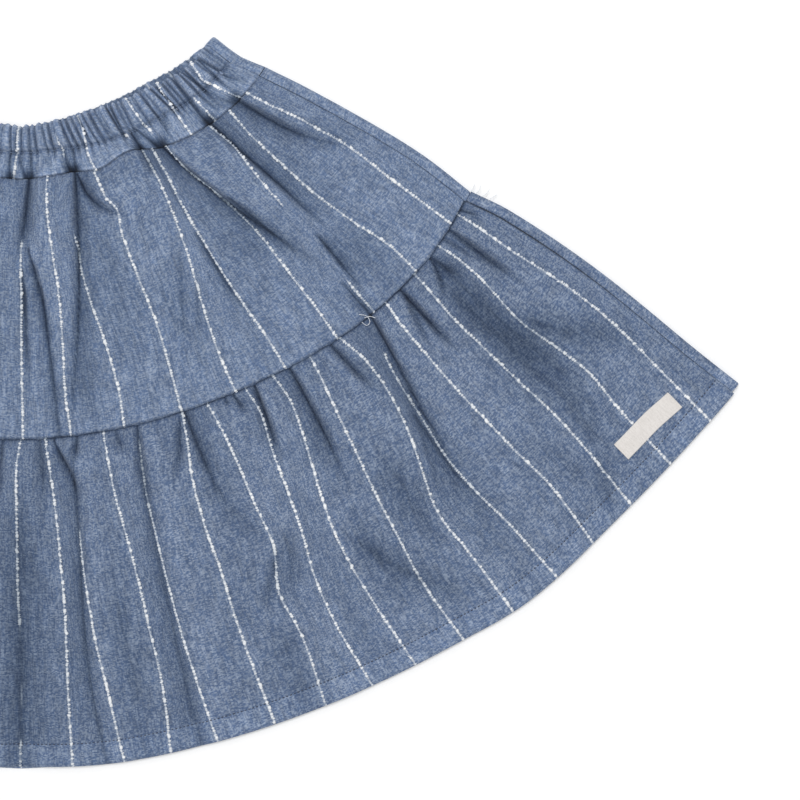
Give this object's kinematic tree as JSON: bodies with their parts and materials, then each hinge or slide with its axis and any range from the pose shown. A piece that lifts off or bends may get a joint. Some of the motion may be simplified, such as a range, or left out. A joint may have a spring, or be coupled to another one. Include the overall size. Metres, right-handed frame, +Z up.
{
  "type": "tiered skirt",
  "caption": "Child's gathered skirt of two tiers with an elastic waistband and a turned-up hem, laid flat on its back and spread like a fan, with a blank label.",
  "frame": {"origin": "centre of the skirt's outline as seen from above, on the surface that it lies on", "axes": "+X to the skirt's right as it is seen from above, along its widest extent; +Y towards the waist; +Z up out of the front of the skirt"},
  "size_m": [0.7202, 0.3669, 0.0091],
  "materials": {
    "waistband": "blue chambray with white slub pinstripes, doubled over elastic",
    "upper_tier": "blue chambray with white slub pinstripes",
    "lower_tier": "blue chambray with white slub pinstripes",
    "label": "ivory woven tape, blank"
  },
  "bodies": {
    "root": {"waistband_front": "waistband", "waistband_back": "waistband", "upper_tier_front": "upper_tier", "upper_tier_back": "upper_tier", "lower_tier_front": "lower_tier", "lower_tier_back": "lower_tier", "label": "label"}
  },
  "joints": []
}
